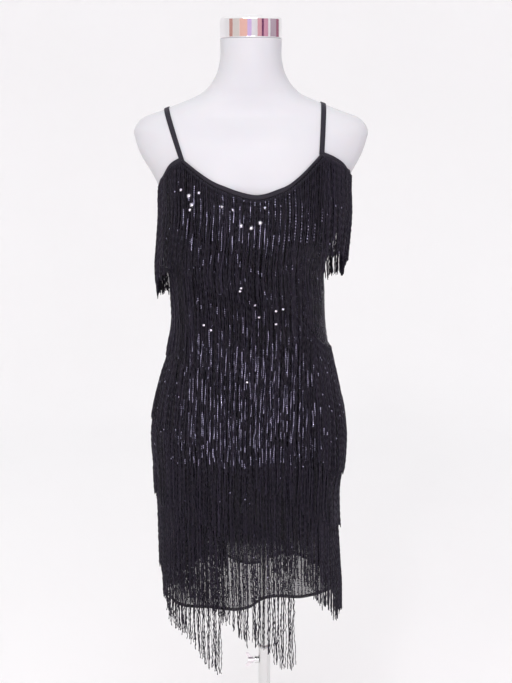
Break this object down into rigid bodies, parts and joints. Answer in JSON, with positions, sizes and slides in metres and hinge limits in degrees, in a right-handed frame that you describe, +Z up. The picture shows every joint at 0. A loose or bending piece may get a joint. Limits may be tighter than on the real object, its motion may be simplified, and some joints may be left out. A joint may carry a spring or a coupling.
{
  "type": "sequin dress on a dress form",
  "caption": "Sleeveless sequin net dress with tiers of long hanging fringe, on a limbless dress form with a round-based stand whose height adjusts.",
  "frame": {"origin": "middle of the base's underside, on the pole's axis", "axes": "+Z up along the pole, the dress's front towards -Y, and the wearer's left towards +X"},
  "size_m": [0.397, 0.3, 1.5663],
  "materials": {
    "chrome": "bright plated",
    "black_plastic": "matt black",
    "form_skin": "white satin",
    "sequin_net": "sheer black stretch net with small round sequins",
    "binding": "black knitted elastic",
    "fringe": "black crinkled chainette fringe"
  },
  "bodies": {
    "stand": {"base": "chrome", "outer_tube": "chrome", "bushing": "black_plastic"},
    "knob": {"clamp_screw": "chrome"},
    "pole": {"inner_tube": "chrome"},
    "torso": {"form": "form_skin", "neck_cap": "chrome", "pole_socket": "chrome", "front_panel": "sequin_net", "back_panel": "sequin_net", "neck_binding": "binding", "armhole_binding_left": "binding", "armhole_binding_right": "binding", "back_binding": "binding", "strap_left": "binding", "strap_right": "binding", "fringe_row_1_front": "fringe", "fringe_row_1_back": "fringe", "fringe_row_2_front": "fringe", "fringe_row_2_back": "fringe", "fringe_row_3_front": "fringe", "fringe_row_3_back": "fringe", "fringe_row_4_front": "fringe", "fringe_row_4_back": "fringe", "fringe_row_5_front": "fringe", "fringe_row_5_back": "fringe", "fringe_row_6_front": "fringe", "fringe_row_6_back": "fringe"}
  },
  "joints": [
    {"name": "pole_height", "type": "slide", "parent": "stand", "child": "pole", "axis": [0, 0, 1], "range_m": [-0.25, 0.1]},
    {"name": "form_swivel", "type": "hinge", "parent": "pole", "child": "torso", "pos_m": [0, 0, 0.8], "axis": [0, 0, 1], "continuous": true},
    {"name": "clamp_turn", "type": "hinge", "parent": "stand", "child": "knob", "pos_m": [-0.02, 0, 0.408], "axis": [1, 0, 0], "range_deg": [-720, 0]}
  ]
}
